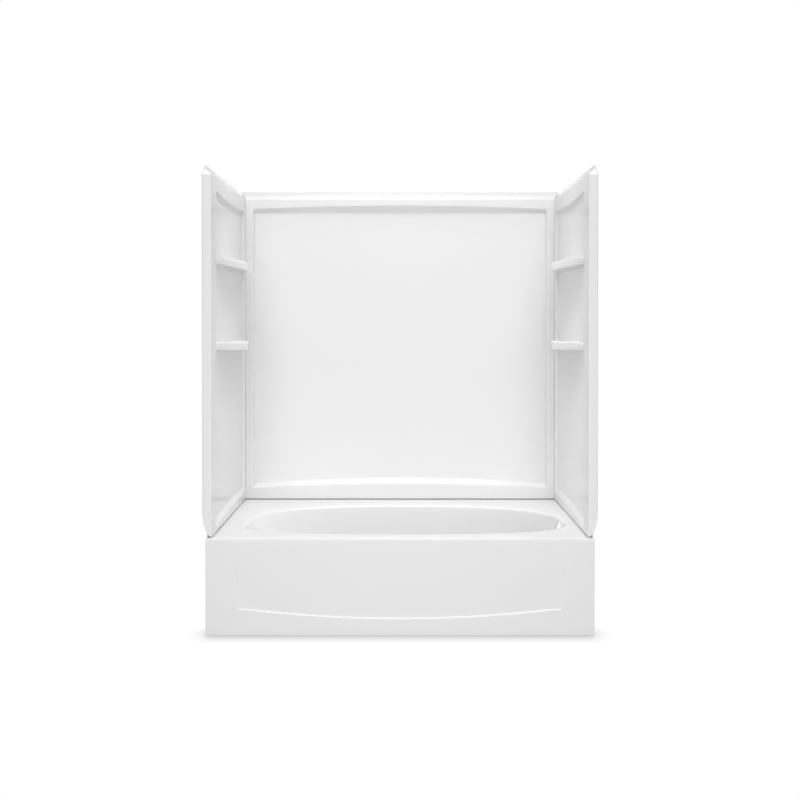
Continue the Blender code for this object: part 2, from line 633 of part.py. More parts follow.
def build_supports(group, cutters):
    """The board bonded under the basin's floor, the foam pads below it and the apron's timbers."""
    tilt = math.atan2(floor_height(0) - floor_height(DRAIN_X), DRAIN_X)
    left = BASIN_CENTRE_X - BASIN_HALF_LENGTH + LOUNGE_RUN + FLOOR_RADIUS + BASE_BOARD_MARGIN
    right = BASIN_CENTRE_X + BASIN_HALF_LENGTH - DRAIN_END_RUN - FLOOR_RADIUS - BASE_BOARD_MARGIN
    front = FRONT + BASIN_FRONT + FRONT_RUN + FLOOR_RADIUS + BASE_BOARD_MARGIN
    back = FRONT + BASIN_BACK - BACK_RUN - FLOOR_RADIUS - BASE_BOARD_MARGIN
    centre_x = (left + right) / 2
    half = BASE_BOARD_THICKNESS / 2
    work = box_mesh((left - centre_x, front, -half), (right - centre_x, back, half))
    round_uprights(work, BASE_BOARD_CORNER)
    board = add_object("basin_base_board", work, group, "board")
    board.rotation_euler = (0, tilt, 0)
    board_top = floor_height(centre_x) - BATH_SKIN - SEAT_GAP
    board.location = (centre_x, 0, board_top - half)
    waste_at = (DRAIN_X, BASIN_MIDDLE_Y, board_top - half)
    waste_mesh = cylinder_mesh(waste_at, WASTE_CLEARANCE_RADIUS, CUT_LENGTH)
    cut(board, add_object("waste_cutter", waste_mesh, cutters), "waste clearance")
    shade_by_angle(board)
    pad_right = DRAIN_X - WASTE_CLEARANCE_RADIUS - PAD_LENGTH / 2
    pad_left = left + BASE_BOARD_CORNER + PAD_LENGTH / 2
    for number, x in enumerate(np.linspace(pad_left, pad_right, PAD_COUNT), start=1):
        lower_side = x + PAD_LENGTH / 2
        top = floor_height(lower_side) - BATH_SKIN - BASE_BOARD_THICKNESS - 2 * SEAT_GAP
        low = (x - PAD_LENGTH / 2, front + PAD_MARGIN, 0)
        high = (x + PAD_LENGTH / 2, back - PAD_MARGIN, top)
        pad = box_mesh(low, high)
        round_uprights(pad, PAD_BEVEL)
        shade_by_angle(add_object(f"support_pad_{number}", pad, group, "foam"))
    near = FRONT + BATH_SKIN + SEAT_GAP
    reach = HALF_LENGTH - APRON_TIMBER_END_GAP
    rail_high = (reach, near + APRON_RAIL_THICKNESS, APRON_RAIL_HEIGHT)
    add_object("apron_rail", box_mesh((-reach, near, 0), rail_high), group, "timber")
    post_low = APRON_RAIL_HEIGHT + SEAT_GAP
    post_high = RIM_HEIGHT - BATH_SKIN - APRON_ROLL_DROP - SEAT_GAP
    for name, side in (("apron_post_left", -1), ("apron_post_right", 1)):
        x0, x1 = sorted((side * reach, side * (reach - APRON_POST_SIDE)))
        post = box_mesh((x0, near, post_low), (x1, near + APRON_POST_SIDE, post_high))
        add_object(name, post, group, "timber")


def main():
    clear_scene()
    group = make_collection("bath_and_shower_unit")
    cutters = make_collection("cutters")
    build_bath(group, cutters)
    build_end_walls(group)
    build_back_wall(group)
    build_seals(group)
    build_corner_clips(group)
    build_foot_clips(group)
    build_supports(group, cutters)


main()
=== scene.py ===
"""White alcove bath with its moulded three-piece surround: the show pieces, their finishes and a studio.

The script is laid out as an add-on. Run as a script, it builds everything once. Lengths are in
metres, X runs to the right, Y away from the person who looks at the apron, and Z up. The floor is
at Z 0, and the middle of the unit's length and depth at X 0 and Y 0.
"""

import math

import bmesh
import bpy
import numpy as np
from bpy.props import FloatProperty, FloatVectorProperty, IntProperty, PointerProperty
from bpy.types import Operator, Panel, PropertyGroup
from mathutils import Matrix, Vector


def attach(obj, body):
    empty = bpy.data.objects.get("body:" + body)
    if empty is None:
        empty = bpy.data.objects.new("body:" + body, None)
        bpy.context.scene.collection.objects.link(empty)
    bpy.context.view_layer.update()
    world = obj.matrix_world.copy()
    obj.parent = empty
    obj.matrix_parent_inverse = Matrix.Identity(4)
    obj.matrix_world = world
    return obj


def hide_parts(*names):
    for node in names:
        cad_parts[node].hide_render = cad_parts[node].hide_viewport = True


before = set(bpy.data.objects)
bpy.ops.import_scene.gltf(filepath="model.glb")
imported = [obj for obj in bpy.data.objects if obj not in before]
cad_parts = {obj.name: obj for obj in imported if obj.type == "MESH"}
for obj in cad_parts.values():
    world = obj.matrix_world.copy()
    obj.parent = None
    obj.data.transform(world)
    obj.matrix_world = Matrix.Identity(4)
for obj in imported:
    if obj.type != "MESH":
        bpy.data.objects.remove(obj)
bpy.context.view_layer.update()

bl_info = {
    "name": "Alcove bath with shower surround",
    "version": (1, 0, 0),
    "blender": (4, 5, 0),
    "location": "3D View > Sidebar > Bath Unit",
    "description": "Builds the bath moulding, the surround's panels, their finishes and a studio",
    "category": "Add Mesh",
}

WELD = 0.00005
SHARP_DEGREES = 30
TINY = 1e-9
REACH_SHARE_LIMIT = 0.49
WHITE = (1, 1, 1, 1)
BLACK = (0, 0, 0, 1)

# Spacing of rows and columns, and steps of roundings

DECK_SPACING = 0.008
BASIN_SPACING = 0.04
PATH_SPACING = 0.012
PANEL_SPACING = 0.03
BATH_STEPS = 10
PANEL_STEPS = 6
DECK_END_STEPS = 9
RELIEF_SHARES = np.linspace(-0.2, 1.2, 8)
APRON_STEPS = {"below": 8, "field": 24, "upper": 4}
HOLE_SIDES = 96
CUTTER_LENGTH = 0.06
FLOOR_POINTS = 5

# Roundings of the panels, in the order in which their rows and columns come

COLUMN_ROUND = 0.002
FIELD_ROUND = 0.003
BACK_PATH_ROUNDS = (0.003, 0.004)
END_LEDGE_ROUNDS = (0.004, 0.006)
SHELF_FOOT_ROUNDS = (0.006, 0.003)
SHELF_BACK_ROUND = 0.004
END_TOP_ROUNDS = (0.005, 0.003, 0.003, 0.0015)
BACK_ROUNDS = (0.004, 0.008, 0.006, 0.004, 0.003, 0.0015)

# Other values of the panels' shapes

SHELF_STRIP = 0.003
FULLY_SUNK = 0.999
DRAW_RATE = 4

# Lamps: place, point that it faces, and size

LAMPS = {
    "overhead": ((0, -0.04, 3.05), (0, -0.039, 0), (0.7, 0.5)),
    "high": ((0, -1.9, 5.2), (0, 0.2, 0.8), (4.0, 2.0)),
    "front": ((0, -3.6, 5.2), (0, 0.2, 0.8), (4.0, 2.0)),
    "low": ((0, -2.6, 0.35), (0, -0.4, 0.35), (2.6, 0.5)),
    "left wall": ((0.15, -0.02, 3.6), (-0.737, 0, 1.2), (0.3, 0.5)),
    "right wall": ((-0.15, -0.02, 3.6), (0.737, 0, 1.2), (0.3, 0.5)),
}


def length(label, default, description):
    """A size in metres that a user may change."""
    return FloatProperty(
        name=label, description=description, default=default, min=0, precision=4, unit="LENGTH"
    )


def angle(label, default, description):
    """An angle that a user may change."""
    return FloatProperty(name=label, description=description, default=default, subtype="ANGLE")


def amount(label, default, description):
    """A plain number that a user may change."""
    return FloatProperty(name=label, description=description, default=default, min=0)


def colour(label, default, description):
    """A colour that a user may change."""
    return FloatVectorProperty(
        name=label, description=description, default=default, size=4, min=0, max=1, subtype="COLOR"
    )


class BathSizes(PropertyGroup):
    """Sizes of the bath moulding. Places are measured from its middle and from the apron's face."""

    length: length("Length", 1.524, "From end to end")
    depth: length("Depth", 0.762, "From the apron's face to the back")
    rim_height: length("Rim height", 0.381, "From the floor to the deck")
    skin: length("Skin", 0.005, "Thickness of the moulding")
    tile_flange_rise: length("Tile flange rise", 0.025, "How far the flange stands above the deck")
    roll_reach: length("Roll reach", 0.026, "How far the apron's top edge rolls back on to the deck")
    roll_drop: length("Roll drop", 0.004, "How far that roll comes down the apron's face")
    relief_depth: length("Relief depth", 0.005, "How deep the apron's field is sunk at its foot")
    relief_step: length("Relief step", 0.004, "Width of the slope round the sunk field")
    relief_low_middle: length("Relief low middle", 0.063, "Height of the arched line at the middle")
    relief_low_end: length("Relief low end", 0.098, "Height of the arched line at its ends")
    relief_fade_height: length("Relief fade height", 0.330, "Where the sunk field has come flush")
    relief_half_low: length("Relief half low", 0.628, "Half width of the sunk field at its foot")
    relief_half_high: length("Relief half high", 0.662, "Half width of the sunk field at its top")
    basin_left: length("Basin left", 0.645, "From the middle to the opening's left end")
    basin_right: length("Basin right", 0.693, "From the middle to the opening's right end")
    basin_front: length("Basin front", 0.067, "From the apron's face to the opening")
    basin_back: length("Basin back", 0.609, "From the apron's face to the opening's far side")
    basin_widest: length("Basin widest", 0.305, "From the apron's face to where the opening is longest")
    rim_radius: length("Rim radius", 0.012, "How far the rim's rounding reaches")
    floor_top: length("Floor top", 0.066, "Height of the basin's floor at the drain")
    floor_fall: length("Floor fall", 0.005, "How far the floor falls to the drain")
    floor_radius: length("Floor radius", 0.055, "How far the rounding at the floor reaches")
    floor_margin: length("Floor margin", 0.010, "Level strip inside that rounding")
    lounge_run: length("Lounge run", 0.245, "How far the left end leans in")
    drain_end_run: length("Drain end run", 0.070, "How far the right end leans in")
    back_run: length("Back run", 0.070, "How far the back wall of the basin leans in")
    front_run: length("Front run", 0.047, "How far the front wall of the basin leans in")
    front_left_power: amount("Front left power", 4.0, "Squareness of that corner; 2 is an ellipse")
    front_right_power: amount("Front right power", 3.0, "Squareness of that corner")
    back_right_power: amount("Back right power", 2.2, "Squareness of that corner")
    back_left_power: amount("Back left power", 2.25, "Squareness of that corner")
    floor_power_gain: amount("Floor power gain", 0.6, "Added to the powers at the floor")
    drain_radius: length("Drain radius", 0.026, "Radius of the waste hole")
    drain_from_end: length("Drain from end", 0.242, "From the right end to the waste hole")
    overflow_radius: length("Overflow radius", 0.027, "Radius of the overflow hole")
    overflow_drop: length("Overflow drop", 0.042, "From the deck down to the overflow's middle")


class PanelSizes(PropertyGroup):
    """Sizes of the three wall panels."""

    skin: length("Skin", 0.004, "Thickness of the panels")
    foot: length("Foot height", 0.3851, "Where the panels stand on their seals")
    end_standoff: length("End standoff", 0.025, "From the bath's end to the end panel's face")
    back_standoff: length("Back standoff", 0.027, "From the bath's back to the back panel's face")
    frame_top: length("Frame top", 1.812, "Top of the panels' faces")
    bevel_rise: length("Bevel rise", 0.020, "Height of the slope above the faces")
    end_flange_rise: length("End flange rise", 0.006, "Height of the end panels' flange")
    back_flange_rise: length("Back flange rise", 0.016, "Height of the back panel's flange")
    return_stop: length("Return stop", 0.008, "From the bath's back to the corner returns")
    joint: length("Joint", 0.0004, "Clearance where the panels meet")
    lip_overhang: length("Lip overhang", 0.012, "How far the front lip passes the bath's end")
    lip_round: length("Lip round", 0.009, "Rounding of the lip's outer edge")
    lip_edge: length("Lip edge", 0.003, "Rounding of the lip's inner edge")
    lip_foot_lift: length("Lip foot lift", 0.0005, "How far the lip ends above the panel's foot")
    lip_foot_round: length("Lip foot round", 0.103, "How far its outer edge is rounded upwards")
    lip_top_drop: length("Lip top drop", 0.010, "How far the lip's face stops below the frame's top")
    lip_set_back: length("Lip set back", 0.008, "How far the lip's slope starts behind its face")
    lip_bevel_share: amount("Lip bevel share", 0.27, "Share of the lip's width left at the slope's top")
    lip_flange_share: amount("Lip flange share", 0.17, "Share of the lip's width left at the flange")
    notch_length: length("Notch length", 0.125, "Where the end flange is low, from the back")
    notch_share: amount("Notch share", 0.3, "Share of the end flange left there")
    front_column: length("Front column", 0.090, "Depth of the end panel's front column")
    rear_column: length("Rear column", 0.013, "Depth of the end panel's strip at the corner")
    end_recess: length("End recess", 0.012, "How deep the end panel's field is")
    recess_slope: length("Recess slope", 0.006, "Width of the slope beside that field")
    ledge_front: length("Ledge front", 0.404, "Height of the end ledge at its front")
    ledge_front_bow: length("Ledge front bow", 0.021, "How far that edge climbs to the corner")
    ledge_rise: length("Ledge rise", 0.010, "How far the ledge slopes up to the field")
    ledge_rise_bow: length("Ledge rise bow", 0.016, "What its middle adds to that")
    end_rail_edge: length("End rail edge", 1.750, "Lower edge of the end panel's top rail")
    end_rail_bow: length("End rail bow", 0.010, "How far that edge sags at its middle")
    end_rail_fall: length("End rail fall", 0.004, "How far the rail's underside falls inwards")
    shelf_low: length("Lower shelf", 1.143, "Height of the lower shelf")
    shelf_high: length("Upper shelf", 1.490, "Height of the upper shelf")
    shelf_bow: length("Shelf bow", 0.070, "How far the shelves bow out")
    shelf_bow_power: amount("Shelf bow power", 1.6, "Fullness of the bow; 2 is a parabola")
    shelf_band: length("Shelf band", 0.029, "Height of the shelves' front at its ends")
    shelf_band_bow: length("Shelf band bow", 0.008, "What its middle adds to that")
    shelf_edge: length("Shelf edge", 0.006, "Rounding of the shelves' top edge")
    shelf_fall: length("Shelf fall", 0.003, "How far the shelves' underside falls inwards")
    side_column: length("Side column", 0.036, "Width of the back panel's columns")
    back_recess: length("Back recess", 0.020, "How deep the back panel's field is")
    back_slope: length("Back slope", 0.008, "Width of the slope beside that field")
    corner_round: length("Corner round", 0.0008, "Rounding where the back panel turns back")
    flange_draw: length("Flange draw", 0.0015, "How far the back flange's ends draw in")
    back_ledge: length("Back ledge", 0.437, "Height of the back ledge's front edge at its ends")
    back_ledge_bow: length("Back ledge bow", 0.020, "What the arch adds at the middle")
    back_ledge_rise: length("Back ledge rise", 0.012, "How far the ledge slopes up to the field")
    back_ledge_rise_bow: length("Back ledge rise bow", 0.010, "What the arch adds to that")
    back_rail: length("Back rail", 1.765, "Lower edge of the back panel's top rail at its ends")
    back_rail_bow: length("Back rail bow", 0.017, "What the arch adds at the middle")
    back_rail_low: length("Back rail low", 1.7475, "Where the rail's underside meets the field")


class FinishColours(PropertyGroup):
    """Colours of the finishes."""

    white: colour("White", (0.80, 0.80, 0.80, 1), "The glossy face of bath and panels")
    backing: colour("Backing", (0.72, 0.70, 0.60, 1), "Resin on the backs of the mouldings")
    # Seal: dark grey foam, set darker still as painted shade for the joint at the panels' foot
    seal: colour("Seal", (0.12, 0.12, 0.12, 1), "Foam strips under the panels")
    steel: colour("Spring steel", (0.60, 0.60, 0.58, 1), "Clips")
    board: colour("Board", (0.55, 0.40, 0.24, 1), "Board under the basin")
    pad: colour("Pad foam", (0.86, 0.87, 0.85, 1), "Blocks that the board stands on")
    timber: colour("Timber", (0.66, 0.50, 0.31, 1), "Batten and posts behind the apron")


class StudioSettings(PropertyGroup):
    """Camera, lamps and floor."""

    camera_distance: length("Camera distance", 3.3252, "From the apron's face to the lens")
    camera_height: length("Camera height", 1.2193, "From the floor to the lens")
    camera_pitch: angle("Camera pitch", 0.008797, "How far the camera looks down")
    focal_pixels: amount("Focal length", 851.9, "In pixels of an image 800 wide")
    axis_row: amount("Axis row", 331.32, "Row of the image that the lens points at")
    image_side: IntProperty(name="Image side", description="Pixels along the image", default=800)
    world_strength: amount("World", 0.49, "Strength of the plain light from all round")
    overhead_power: amount("Overhead light", 2.2, "Power of the light straight above the bath, in watts")
    overhead_spread: angle("Overhead spread", 1.15, "Width of its beam")
    high_power: amount("High light", 10, "Power of the light high above the front, in watts")
    front_power: amount("Front light", 150, "Power of the light that slants in from the front, in watts")
    low_power: amount("Low light", 21, "Power of the strip light near the floor, in watts")
    wall_power: amount("Wall lights", 0.33, "Power of each narrow light on an end panel, in watts")
    wall_spread: angle("Wall spread", 0.30, "Width of their beams")
    floor_colour: colour("Floor", (0.3, 0.3, 0.3, 1), "What the floor throws back on to the unit")
    floor_side: length("Floor side", 40, "Side of the floor")
    shadow_reach: length("Shadow reach", 0.085, "How far the shadow round the unit's foot reaches")
    shadow_depth: amount("Shadow depth", 0.88, "How much of the floor's brightness that shadow takes")


# Surfaces


def corner_rows(rows, reaches, steps):
    """Rounds a net of rows off along its first direction.

    Each inner row C with its neighbours A and B is replaced by rows of the curve
    (1-s)^2 P + 2 s (1-s) C + s^2 Q, where P and Q lie on CA and CB at the row's own reach from C,
    and never further than just short of half way.
    """
    corner = rows[1:-1]
    to_before = rows[:-2] - corner
    to_after = rows[2:] - corner
    reach = np.asarray(reaches, float)[:, None, None]
    span = np.linalg.norm(to_before, axis=2, keepdims=True)
    before = corner + to_before * np.minimum(reach / np.maximum(span, TINY), REACH_SHARE_LIMIT)
    span = np.linalg.norm(to_after, axis=2, keepdims=True)
    after = corner + to_after * np.minimum(reach / np.maximum(span, TINY), REACH_SHARE_LIMIT)
    share = np.linspace(0, 1, steps + 1)[None, :, None, None]
    curves = (1 - share) ** 2 * before[:, None] + share**2 * after[:, None]
    curves = curves + 2 * share * (1 - share) * corner[:, None]
    return np.concatenate([rows[:1], curves.reshape(-1, *rows.shape[1:]), rows[-1:]])


def fill_rows(rows, spacing):
    """Adds evenly spaced rows wherever two rows lie further apart than the spacing, on average."""
    filled = [rows[:1]]
    for before, after in zip(rows[:-1], rows[1:]):
        gap = np.linalg.norm(after - before, axis=1).mean()
        share = np.linspace(0, 1, max(1, math.ceil(gap / spacing)) + 1)[1:, None, None]
        filled.append(before + (after - before) * share)
    return np.concatenate(filled)


def plan_path(corners, reaches):
    """A rounded and evenly filled path through corners that hold x, y and a third value."""
    net = np.array(corners, float)[:, None, :]
    return fill_rows(corner_rows(net, reaches, PANEL_STEPS), PATH_SPACING)[:, 0].T


def row(x, y, z):
    """One row of a net. Any of the three may be a single number."""
    return np.stack(np.broadcast_arrays(x, y, z), axis=1)


def smooth_step(value):
    """3 t^2 - 2 t^3 with t held between 0 and 1: an S-shaped rise from 0 to 1."""
    held = np.clip(value, 0, 1)
    return held * held * (3 - 2 * held)


def bow(share, power):
    """1 - |2 s - 1|^p: 1 in the middle of a run and 0 at its ends."""
    return 1 - np.abs(2 * share - 1) ** power


def net_faces(rows, columns, closed, first):
    """Corner numbers of a net's squares. A face looks along (next column) x (next row)."""
    index = first + np.arange(rows * columns).reshape(rows, columns)
    if closed:
        index = np.concatenate([index, index[:, :1]], axis=1)
    corners = (index[:-1, :-1], index[:-1, 1:], index[1:, 1:], index[1:, :-1])
    return np.stack(corners, axis=-1).reshape(-1, 4)


def make_sheet(name, nets, thickness, materials):
    """One piece from nets that share their edges, with its thickness behind the face that shows.

    nets is a list of (points[row, column], closed). The second material is for the hidden face.
    """
    places = []
    faces = []
    count = 0
    for points, closed in nets:
        rows, columns = points.shape[:2]
        places.append(points.reshape(-1, 3))
        faces.append(net_faces(rows, columns, closed, count))
        count += rows * columns
    mesh = bpy.data.meshes.new(name)
    mesh.from_pydata(np.concatenate(places).tolist(), [], np.concatenate(faces).tolist())
    work = bmesh.new()
    work.from_mesh(mesh)
    bmesh.ops.remove_doubles(work, verts=work.verts, dist=WELD)
    work.to_mesh(mesh)
    work.free()
    for material in materials:
        mesh.materials.append(material)
    piece = bpy.data.objects.new(name, mesh)
    bpy.context.scene.collection.objects.link(piece)
    solid = piece.modifiers.new("thickness", "SOLIDIFY")
    solid.thickness = thickness
    solid.offset = -1
    solid.use_even_offset = True
    solid.material_offset = 1
    return piece


def finish_piece(piece, slot, *nodes):
    """Makes the modifiers' result the piece's own mesh, smooths it and hands it to the frame."""
    bpy.context.view_layer.update()
    evaluated = piece.evaluated_get(bpy.context.evaluated_depsgraph_get())
    mesh = bpy.data.meshes.new_from_object(evaluated)
    piece.modifiers.clear()
    rough = piece.data
    piece.data = mesh
    bpy.data.meshes.remove(rough)
    mesh.name = piece.name
    mesh.shade_smooth()
    mesh.set_sharp_from_angle(angle=math.radians(SHARP_DEGREES))
    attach(piece, "root")
    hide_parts(*nodes)


# The bath moulding


def basin_ring(sizes, angles, wall_share, inset):
    """Places of one ring of the basin, at angles in plan seen from where it is widest.

    Each quarter is a superellipse |x/a|^p + |y/b|^p = 1 with its own a, b and p. wall_share is 0 at
    the opening and 1 at the foot of the wall, and inset is taken off all round.
    """
    right = np.cos(angles) >= 0
    back = np.sin(angles) >= 0
    front_power = np.where(right, sizes.front_right_power, sizes.front_left_power)
    back_power = np.where(right, sizes.back_right_power, sizes.back_left_power)
    power = np.where(back, back_power, front_power) + sizes.floor_power_gain * wall_share
    half_x = (sizes.basin_right + sizes.basin_left) / 2
    half_x = half_x - wall_share * np.where(right, sizes.drain_end_run, sizes.lounge_run) - inset
    far = sizes.basin_back - sizes.basin_widest - wall_share * sizes.back_run
    near = sizes.basin_widest - sizes.basin_front - wall_share * sizes.front_run
    half_y = np.where(back, far, near) - inset
    across = np.abs(np.cos(angles)) / half_x
    along = np.abs(np.sin(angles)) / half_y
    radius = (across**power + along**power) ** (-1 / power)
    centre_x = (sizes.basin_right - sizes.basin_left) / 2
    centre_y = sizes.basin_widest - sizes.depth / 2
    return centre_x + radius * np.cos(angles), centre_y + radius * np.sin(angles)


def drain_place(sizes):
    """Where the waste hole's middle is, across and along."""
    middle_y = (sizes.basin_front + sizes.basin_back - sizes.depth) / 2
    return sizes.length / 2 - sizes.drain_from_end, middle_y


def floor_height(sizes, x):
    """Height of the basin's floor, a plane that falls from the lounging end to the drain."""
    drain_x = drain_place(sizes)[0]
    fall_run = drain_x + sizes.basin_left - sizes.lounge_run
    return sizes.floor_top + sizes.floor_fall * (drain_x - x) / fall_run


def steps_between(low, high, spacing):
    """Evenly spaced places from one to the other, both included."""
    return np.linspace(low, high, math.ceil(abs(high - low) / spacing) + 1)


def deck_outline(sizes):
    """The deck's edge from its front left corner round, and how many points lie along the front."""
    end_x = sizes.length / 2 - sizes.skin
    front_y = sizes.roll_reach - sizes.depth / 2
    back_y = sizes.depth / 2 - sizes.skin
    line = sizes.relief_half_high + sizes.relief_step * RELIEF_SHARES
    outer = np.linspace(line[-1], end_x, DECK_END_STEPS + 1)[1:]
    inner = steps_between(0, line[0], DECK_SPACING)[:-1]
    half = np.concatenate([inner, line, outer])
    front_x = np.concatenate([-half[:0:-1], half])
    side_y = steps_between(front_y, back_y, DECK_SPACING)[1:]
    back_x = steps_between(end_x, -end_x, DECK_SPACING)[1:]
    left_y = side_y[::-1][1:]
    x = [front_x, np.full(len(side_y), end_x), back_x, np.full(len(left_y), -end_x)]
    y = [np.full(len(front_x), front_y), side_y, np.full(len(back_x), back_y), left_y]
    return np.concatenate(x), np.concatenate(y), len(front_x)


def basin_net(sizes, x, y):
    """Rings from the deck's edge over the rim, down the wall and across the floor to the drain.

    Each column keeps the angle of its point on the deck's edge, as seen from where the basin is
    widest. Its straight runs are rounded at the rim and at the foot of the wall.
    """
    centre_x = (sizes.basin_right - sizes.basin_left) / 2
    angles = np.arctan2(y - sizes.basin_widest + sizes.depth / 2, x - centre_x)
    opening_x, opening_y = basin_ring(sizes, angles, 0, 0)
    foot_x, foot_y = basin_ring(sizes, angles, 1, 0)
    flat_x, flat_y = basin_ring(sizes, angles, 1, sizes.floor_radius + sizes.floor_margin)
    rings = np.array(
        [
            row(x, y, sizes.rim_height),
            row(opening_x, opening_y, sizes.rim_height),
            row(foot_x, foot_y, floor_height(sizes, foot_x)),
            row(flat_x, flat_y, floor_height(sizes, flat_x)),
        ]
    )
    walls = corner_rows(rings, (sizes.rim_radius, sizes.floor_radius), BATH_STEPS)
    drain_x, drain_y = drain_place(sizes)
    turn = np.arctan2(flat_y - drain_y, flat_x - drain_x)
    hole_x = drain_x + sizes.drain_radius * np.cos(turn)
    hole_y = drain_y + sizes.drain_radius * np.sin(turn)
    hole = row(hole_x, hole_y, floor_height(sizes, hole_x))
    return fill_rows(np.concatenate([walls, hole[None]]), BASIN_SPACING)


def apron_net(sizes, front_x):
    """The apron from the floor to its rolled top edge.

    Its face is sunk by depth x fade(z) x S((z - line(x)) / step) x S((half(z) + step - |x|) / step),
    where line is the arched line below the field, half the field's half width, fade falls evenly to
    0 at the height where the field is flush, and S is the S-shaped step.
    """
    end_x = sizes.length / 2
    high = sizes.relief_fade_height
    share = np.clip(np.abs(front_x) / sizes.relief_half_low, 0, 1)
    line = sizes.relief_low_middle + (sizes.relief_low_end - sizes.relief_low_middle) * share**2
    step = sizes.relief_step * RELIEF_SHARES[:, None]
    top = sizes.rim_height - sizes.roll_drop
    below = (line + step[0]) * np.linspace(0, 1, APRON_STEPS["below"] + 1)[:-1, None]
    field = np.linspace(0, 1, APRON_STEPS["field"] + 1)[1:, None]
    above = line + step[-1] + (high - line - step[-1]) * field
    upper = np.linspace(high, top, APRON_STEPS["upper"] + 1)[1:, None] + 0 * line
    z = np.concatenate([below, line + step, above, upper])
    widen = np.clip((z - sizes.relief_low_end) / (high - sizes.relief_low_end), 0, 1)
    half = sizes.relief_half_low + (sizes.relief_half_high - sizes.relief_half_low) * widen
    outer = np.abs(front_x) > sizes.relief_half_high + RELIEF_SHARES[-1] * sizes.relief_step
    beyond = np.abs(front_x) - sizes.relief_half_high
    beyond = beyond / (end_x - sizes.skin - sizes.relief_half_high)
    within = front_x * half / sizes.relief_half_high
    outside = np.sign(front_x) * (half + (end_x - half) * beyond)
    x = np.where(outer, outside, within)
    fade = np.clip((high - z) / (high - sizes.relief_low_middle), 0, 1)
    sunk = smooth_step((z - line) / sizes.relief_step)
    sunk = sunk * smooth_step((half + sizes.relief_step - np.abs(x)) / sizes.relief_step)
    face = np.stack([x, sizes.relief_depth * fade * sunk - sizes.depth / 2, z], axis=2)
    blend = np.arange(1, BATH_STEPS + 1)[:, None] / BATH_STEPS
    turn = blend * math.pi / 2
    roll_x = x[-1] + (front_x - x[-1]) * blend
    roll_y = sizes.roll_reach * (1 - np.cos(turn)) - sizes.depth / 2 + 0 * roll_x
    roll_z = top + sizes.roll_drop * np.sin(turn) + 0 * roll_x
    return np.concatenate([face, np.stack([roll_x, roll_y, roll_z], axis=2)])


def flange_net(sizes, x, y):
    """The raised flange along the two ends and the back of the deck, highest row first."""
    rises = (sizes.tile_flange_rise, sizes.tile_flange_rise / 2, 0)
    return np.array([row(x, y, sizes.rim_height + rise) for rise in rises])


def hole_cutter(place, radius):
    """A round cutter that lies along X."""
    work = bmesh.new()
    round_sizes = {"radius1": radius, "radius2": radius, "depth": CUTTER_LENGTH}
    bmesh.ops.create_cone(work, cap_ends=True, segments=HOLE_SIDES, **round_sizes)
    bmesh.ops.rotate(work, matrix=Matrix.Rotation(math.pi / 2, 3, "Y"), verts=work.verts)
    bmesh.ops.translate(work, vec=place, verts=work.verts)
    mesh = bpy.data.meshes.new("hole cutter")
    work.to_mesh(mesh)
    work.free()
    cutter = bpy.data.objects.new("hole cutter", mesh)
    bpy.context.scene.collection.objects.link(cutter)
    return cutter


def build_bath(sizes, materials):
    x, y, front_count = deck_outline(sizes)
    back = np.concatenate([np.arange(front_count - 1, len(x)), [0]])
    nets = [
        (basin_net(sizes, x, y), True),
        (apron_net(sizes, x[:front_count]), False),
        (flange_net(sizes, x[back], y[back]), False),
    ]
    bath = make_sheet("bath_moulding", nets, sizes.skin, materials)
    place = (sizes.basin_right, drain_place(sizes)[1], sizes.rim_height - sizes.overflow_drop)
    cutter = hole_cutter(place, sizes.overflow_radius)
    boolean = bath.modifiers.new("overflow hole", "BOOLEAN")
    boolean.operation = "DIFFERENCE"
    boolean.solver = "EXACT"
    boolean.object = cutter
    finish_piece(bath, "bath", "bath_shell")
    mesh = cutter.data
    bpy.data.objects.remove(cutter)
    bpy.data.meshes.remove(mesh)


# The surround's panels


def panel_net(rows, reaches):
    """A panel's rows with their corners rounded and the gaps between them filled."""
    return fill_rows(corner_rows(np.array(rows), reaches, PANEL_STEPS), PANEL_SPACING)


def end_path(sizes, bath):
    """The left end panel in plan: a front lip, a column, the sunk field and a strip at the corner."""
    face = sizes.end_standoff - bath.length / 2
    lip = -bath.length / 2 - sizes.lip_overhang
    front = -bath.depth / 2
    front_edge = front + sizes.front_column
    rear_edge = bath.depth / 2 - sizes.back_standoff - sizes.rear_column
    corners = [
        (lip, front + sizes.lip_round, 0),
        (lip, front, 0),
        (face, front, 0),
        (face, front_edge, 0),
        (face, front_edge + sizes.recess_slope, 1),
        (face, rear_edge - sizes.recess_slope, 1),
        (face, rear_edge, 0),
        (face, bath.depth / 2 - sizes.return_stop, 0),
    ]
    reaches = (sizes.lip_round, sizes.lip_edge, COLUMN_ROUND, FIELD_ROUND, FIELD_ROUND, COLUMN_ROUND)
    return plan_path(corners, reaches)


